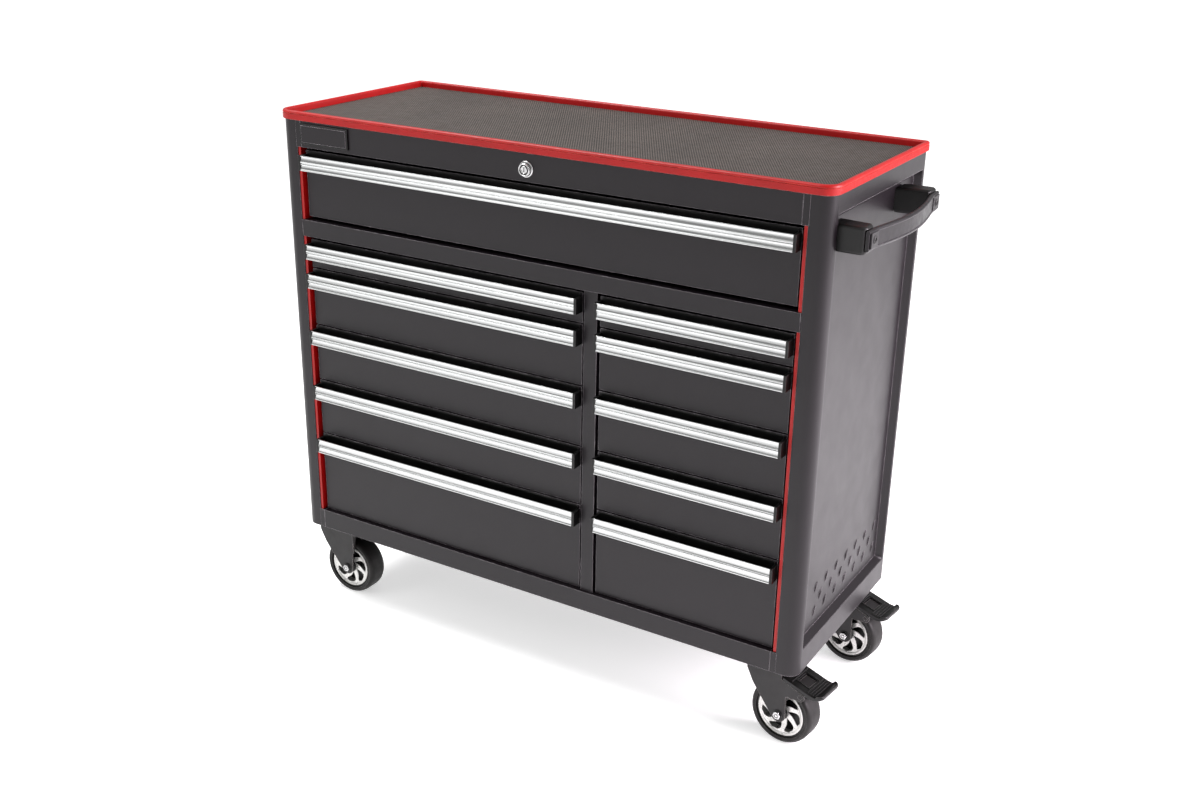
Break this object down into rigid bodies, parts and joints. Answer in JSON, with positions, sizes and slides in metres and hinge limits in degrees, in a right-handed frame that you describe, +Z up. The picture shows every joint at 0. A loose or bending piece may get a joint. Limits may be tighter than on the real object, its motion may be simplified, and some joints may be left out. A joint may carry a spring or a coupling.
{
  "type": "rolling tool chest",
  "caption": "Wide steel tool cabinet on swivel casters: a full-width drawer over two drawer columns, matted top with edge trim, full-width pulls and a side push handle.",
  "frame": {"origin": "bottom centre of the bounding box, on the floor under the casters", "axes": "+X to the user's right along the width, towards the push handle; +Y to the rear; +Z up; drawers open towards -Y"},
  "size_m": [1.1376, 0.4282, 0.9924],
  "materials": {
    "powder_coat": "charcoal powder coat, fine satin texture",
    "satin_aluminium": "satin extruded aluminium with fine lengthwise lines",
    "red_trim": "red flexible edge profile",
    "top_mat": "fine ribbed anti-slip mat, dark brown-grey",
    "black_plastic": "black moulded plastic",
    "grip_coat": "charcoal semi-gloss coated bar",
    "chrome": "bright plated steel",
    "rim_silver": "bright silver painted wheel centre",
    "tyre_rubber": "dark grey solid tyre",
    "fork_steel": "black painted pressed steel"
  },
  "bodies": {
    "cabinet": {"side_panel_left": "powder_coat", "side_panel_right": "powder_coat", "back_panel": "powder_coat", "base_pan": "powder_coat", "top_rail": "powder_coat", "middle_rail": "powder_coat", "centre_divider": "powder_coat", "top_deck": "powder_coat", "edge_trim": "red_trim", "top_mat": "top_mat", "accent_strip_left": "red_trim", "accent_strip_right": "red_trim", "handle_bracket_front": "black_plastic", "handle_bracket_rear": "black_plastic", "handle_grip": "grip_coat", "caster_plate_front_left": "fork_steel", "caster_plate_rear_left": "fork_steel", "caster_plate_front_right": "fork_steel", "caster_plate_rear_right": "fork_steel"},
    "lock": {"lock_barrel": "chrome"},
    "drawer_wide": {"drawer_box_wide": "powder_coat", "drawer_pull_wide": "satin_aluminium"},
    "drawer_left_1": {"drawer_box_left_1": "powder_coat", "drawer_pull_left_1": "satin_aluminium"},
    "drawer_left_2": {"drawer_box_left_2": "powder_coat", "drawer_pull_left_2": "satin_aluminium"},
    "drawer_left_3": {"drawer_box_left_3": "powder_coat", "drawer_pull_left_3": "satin_aluminium"},
    "drawer_left_4": {"drawer_box_left_4": "powder_coat", "drawer_pull_left_4": "satin_aluminium"},
    "drawer_left_5": {"drawer_box_left_5": "powder_coat", "drawer_pull_left_5": "satin_aluminium"},
    "drawer_right_1": {"drawer_box_right_1": "powder_coat", "drawer_pull_right_1": "satin_aluminium"},
    "drawer_right_2": {"drawer_box_right_2": "powder_coat", "drawer_pull_right_2": "satin_aluminium"},
    "drawer_right_3": {"drawer_box_right_3": "powder_coat", "drawer_pull_right_3": "satin_aluminium"},
    "drawer_right_4": {"drawer_box_right_4": "powder_coat", "drawer_pull_right_4": "satin_aluminium"},
    "drawer_right_5": {"drawer_box_right_5": "powder_coat", "drawer_pull_right_5": "satin_aluminium"},
    "swivel_front_left": {"caster_fork_front_left": "fork_steel", "wheel_axle_front_left": "chrome"},
    "wheel_front_left": {"wheel_rim_front_left": "rim_silver", "wheel_tyre_front_left": "tyre_rubber"},
    "swivel_rear_left": {"caster_fork_rear_left": "fork_steel", "wheel_axle_rear_left": "chrome"},
    "wheel_rear_left": {"wheel_rim_rear_left": "rim_silver", "wheel_tyre_rear_left": "tyre_rubber"},
    "swivel_front_right": {"caster_fork_front_right": "fork_steel", "wheel_axle_front_right": "chrome"},
    "wheel_front_right": {"wheel_rim_front_right": "rim_silver", "wheel_tyre_front_right": "tyre_rubber"},
    "brake_front_right": {"brake_pedal_front_right": "black_plastic"},
    "swivel_rear_right": {"caster_fork_rear_right": "fork_steel", "wheel_axle_rear_right": "chrome"},
    "wheel_rear_right": {"wheel_rim_rear_right": "rim_silver", "wheel_tyre_rear_right": "tyre_rubber"},
    "brake_rear_right": {"brake_pedal_rear_right": "black_plastic"}
  },
  "joints": [
    {"name": "drawer_slide_wide", "type": "slide", "parent": "cabinet", "child": "drawer_wide", "axis": [0, -1, 0], "range_m": [0, 0.34]},
    {"name": "drawer_slide_left_1", "type": "slide", "parent": "cabinet", "child": "drawer_left_1", "axis": [0, -1, 0], "range_m": [0, 0.34]},
    {"name": "drawer_slide_left_2", "type": "slide", "parent": "cabinet", "child": "drawer_left_2", "axis": [0, -1, 0], "range_m": [0, 0.34]},
    {"name": "drawer_slide_left_3", "type": "slide", "parent": "cabinet", "child": "drawer_left_3", "axis": [0, -1, 0], "range_m": [0, 0.34]},
    {"name": "drawer_slide_left_4", "type": "slide", "parent": "cabinet", "child": "drawer_left_4", "axis": [0, -1, 0], "range_m": [0, 0.34]},
    {"name": "drawer_slide_left_5", "type": "slide", "parent": "cabinet", "child": "drawer_left_5", "axis": [0, -1, 0], "range_m": [0, 0.34]},
    {"name": "drawer_slide_right_1", "type": "slide", "parent": "cabinet", "child": "drawer_right_1", "axis": [0, -1, 0], "range_m": [0, 0.34]},
    {"name": "drawer_slide_right_2", "type": "slide", "parent": "cabinet", "child": "drawer_right_2", "axis": [0, -1, 0], "range_m": [0, 0.34]},
    {"name": "drawer_slide_right_3", "type": "slide", "parent": "cabinet", "child": "drawer_right_3", "axis": [0, -1, 0], "range_m": [0, 0.34]},
    {"name": "drawer_slide_right_4", "type": "slide", "parent": "cabinet", "child": "drawer_right_4", "axis": [0, -1, 0], "range_m": [0, 0.34]},
    {"name": "drawer_slide_right_5", "type": "slide", "parent": "cabinet", "child": "drawer_right_5", "axis": [0, -1, 0], "range_m": [0, 0.34]},
    {"name": "lock_turn", "type": "hinge", "parent": "cabinet", "child": "lock", "pos_m": [-0.03102, -0.20112, 0.949], "axis": [0, 1, 0], "range_deg": [0, 90]},
    {"name": "swivel_front_left", "type": "hinge", "parent": "cabinet", "child": "swivel_front_left", "pos_m": [-0.52353, -0.13512, 0.155], "axis": [0, 0, 1], "continuous": true},
    {"name": "wheel_spin_front_left", "type": "hinge", "parent": "swivel_front_left", "child": "wheel_front_left", "pos_m": [-0.49952, -0.13512, 0.059], "axis": [0, 1, 0], "continuous": true},
    {"name": "swivel_rear_left", "type": "hinge", "parent": "cabinet", "child": "swivel_rear_left", "pos_m": [-0.52353, 0.17087, 0.155], "axis": [0, 0, 1], "continuous": true},
    {"name": "wheel_spin_rear_left", "type": "hinge", "parent": "swivel_rear_left", "child": "wheel_rear_left", "pos_m": [-0.49952, 0.17087, 0.059], "axis": [0, 1, 0], "continuous": true},
    {"name": "swivel_front_right", "type": "hinge", "parent": "cabinet", "child": "swivel_front_right", "pos_m": [0.44248, -0.13512, 0.155], "axis": [0, 0, 1], "continuous": true},
    {"name": "wheel_spin_front_right", "type": "hinge", "parent": "swivel_front_right", "child": "wheel_front_right", "pos_m": [0.4663, -0.13805, 0.059], "axis": [0.1219, 0.9925, 0], "continuous": true},
    {"name": "brake_press_front_right", "type": "hinge", "parent": "swivel_front_right", "child": "brake_front_right", "pos_m": [0.506, -0.14292, 0.11], "axis": [0.1219, 0.9925, 0], "range_deg": [0, 12]},
    {"name": "swivel_rear_right", "type": "hinge", "parent": "cabinet", "child": "swivel_rear_right", "pos_m": [0.44248, 0.17087, 0.155], "axis": [0, 0, 1], "continuous": true},
    {"name": "wheel_spin_rear_right", "type": "hinge", "parent": "swivel_rear_right", "child": "wheel_rear_right", "pos_m": [0.4663, 0.16795, 0.059], "axis": [0.1219, 0.9925, 0], "continuous": true},
    {"name": "brake_press_rear_right", "type": "hinge", "parent": "swivel_rear_right", "child": "brake_rear_right", "pos_m": [0.506, 0.16308, 0.11], "axis": [0.1219, 0.9925, 0], "range_deg": [0, 12]}
  ]
}
